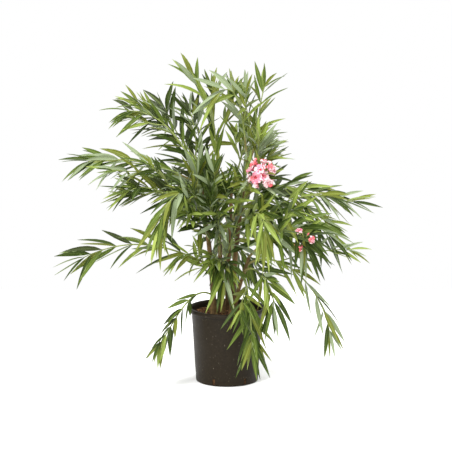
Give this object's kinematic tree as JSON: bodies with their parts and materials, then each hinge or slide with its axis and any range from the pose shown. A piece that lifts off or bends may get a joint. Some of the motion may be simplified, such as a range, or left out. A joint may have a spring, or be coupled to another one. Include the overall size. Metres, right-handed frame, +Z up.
{
  "type": "potted oleander",
  "caption": "Evergreen flowering shrub in a round nursery pot: slim woody stems, arching leafy shoots with lance-shaped leaves, and clusters of pink blossom.",
  "frame": {"origin": "centre of the pot's flat underside, on the surface that it stands on", "axes": "+Z up along the pot's axis, -Y the side of the plant that carries the blossom, +X to the right seen from there"},
  "size_m": [0.9986, 0.8817, 1.0104],
  "materials": {
    "pot_plastic": "satin",
    "compost": "matte",
    "bark": "matte",
    "foliage": "satin"
  },
  "bodies": {
    "root": {"pot": "pot_plastic", "soil": "compost", "stem_left": "bark", "stem_middle": "bark", "stem_right": "bark", "stem_front": "bark", "stem_back": "bark", "bough_top_left": "bark", "foliage_top_left": "foliage", "bough_top_middle": "bark", "foliage_top_middle": "foliage", "bough_top_right": "bark", "foliage_top_right": "foliage", "bough_crown_right": "bark", "foliage_crown_right": "foliage", "bough_blossom": "bark", "foliage_blossom": "foliage", "bough_upper_left": "bark", "foliage_upper_left": "foliage", "bough_upper_inner": "bark", "foliage_upper_inner": "foliage", "bough_left_upper": "bark", "foliage_left_upper": "foliage", "bough_left_middle": "bark", "foliage_left_middle": "foliage", "bough_left_hanging": "bark", "foliage_left_hanging": "foliage", "bough_left_low": "bark", "foliage_left_low": "foliage", "foliage_left_skirt": "foliage", "foliage_foot_spray": "foliage", "foliage_centre_fall": "foliage", "bough_right_upper": "bark", "foliage_right_upper": "foliage", "bough_right_middle": "bark", "foliage_right_middle": "foliage", "bough_right_hanging": "bark", "foliage_right_hanging": "foliage", "bough_right_inner": "bark", "foliage_right_inner": "foliage", "bough_right_low": "bark", "foliage_right_low": "foliage", "bough_right_skirt": "bark", "foliage_right_skirt": "foliage", "bough_pot_front": "bark", "foliage_pot_front": "foliage", "bough_front": "bark", "foliage_front": "foliage", "foliage_inner_left": "foliage", "foliage_inner_middle": "foliage", "bough_back_left": "bark", "foliage_back_left": "foliage", "bough_back_middle": "bark", "foliage_back_middle": "foliage", "bough_back_right": "bark", "foliage_back_right": "foliage", "bough_back_low": "bark", "foliage_back_low": "foliage", "bough_back_upper": "bark", "foliage_back_upper": "foliage"}
  },
  "joints": []
}
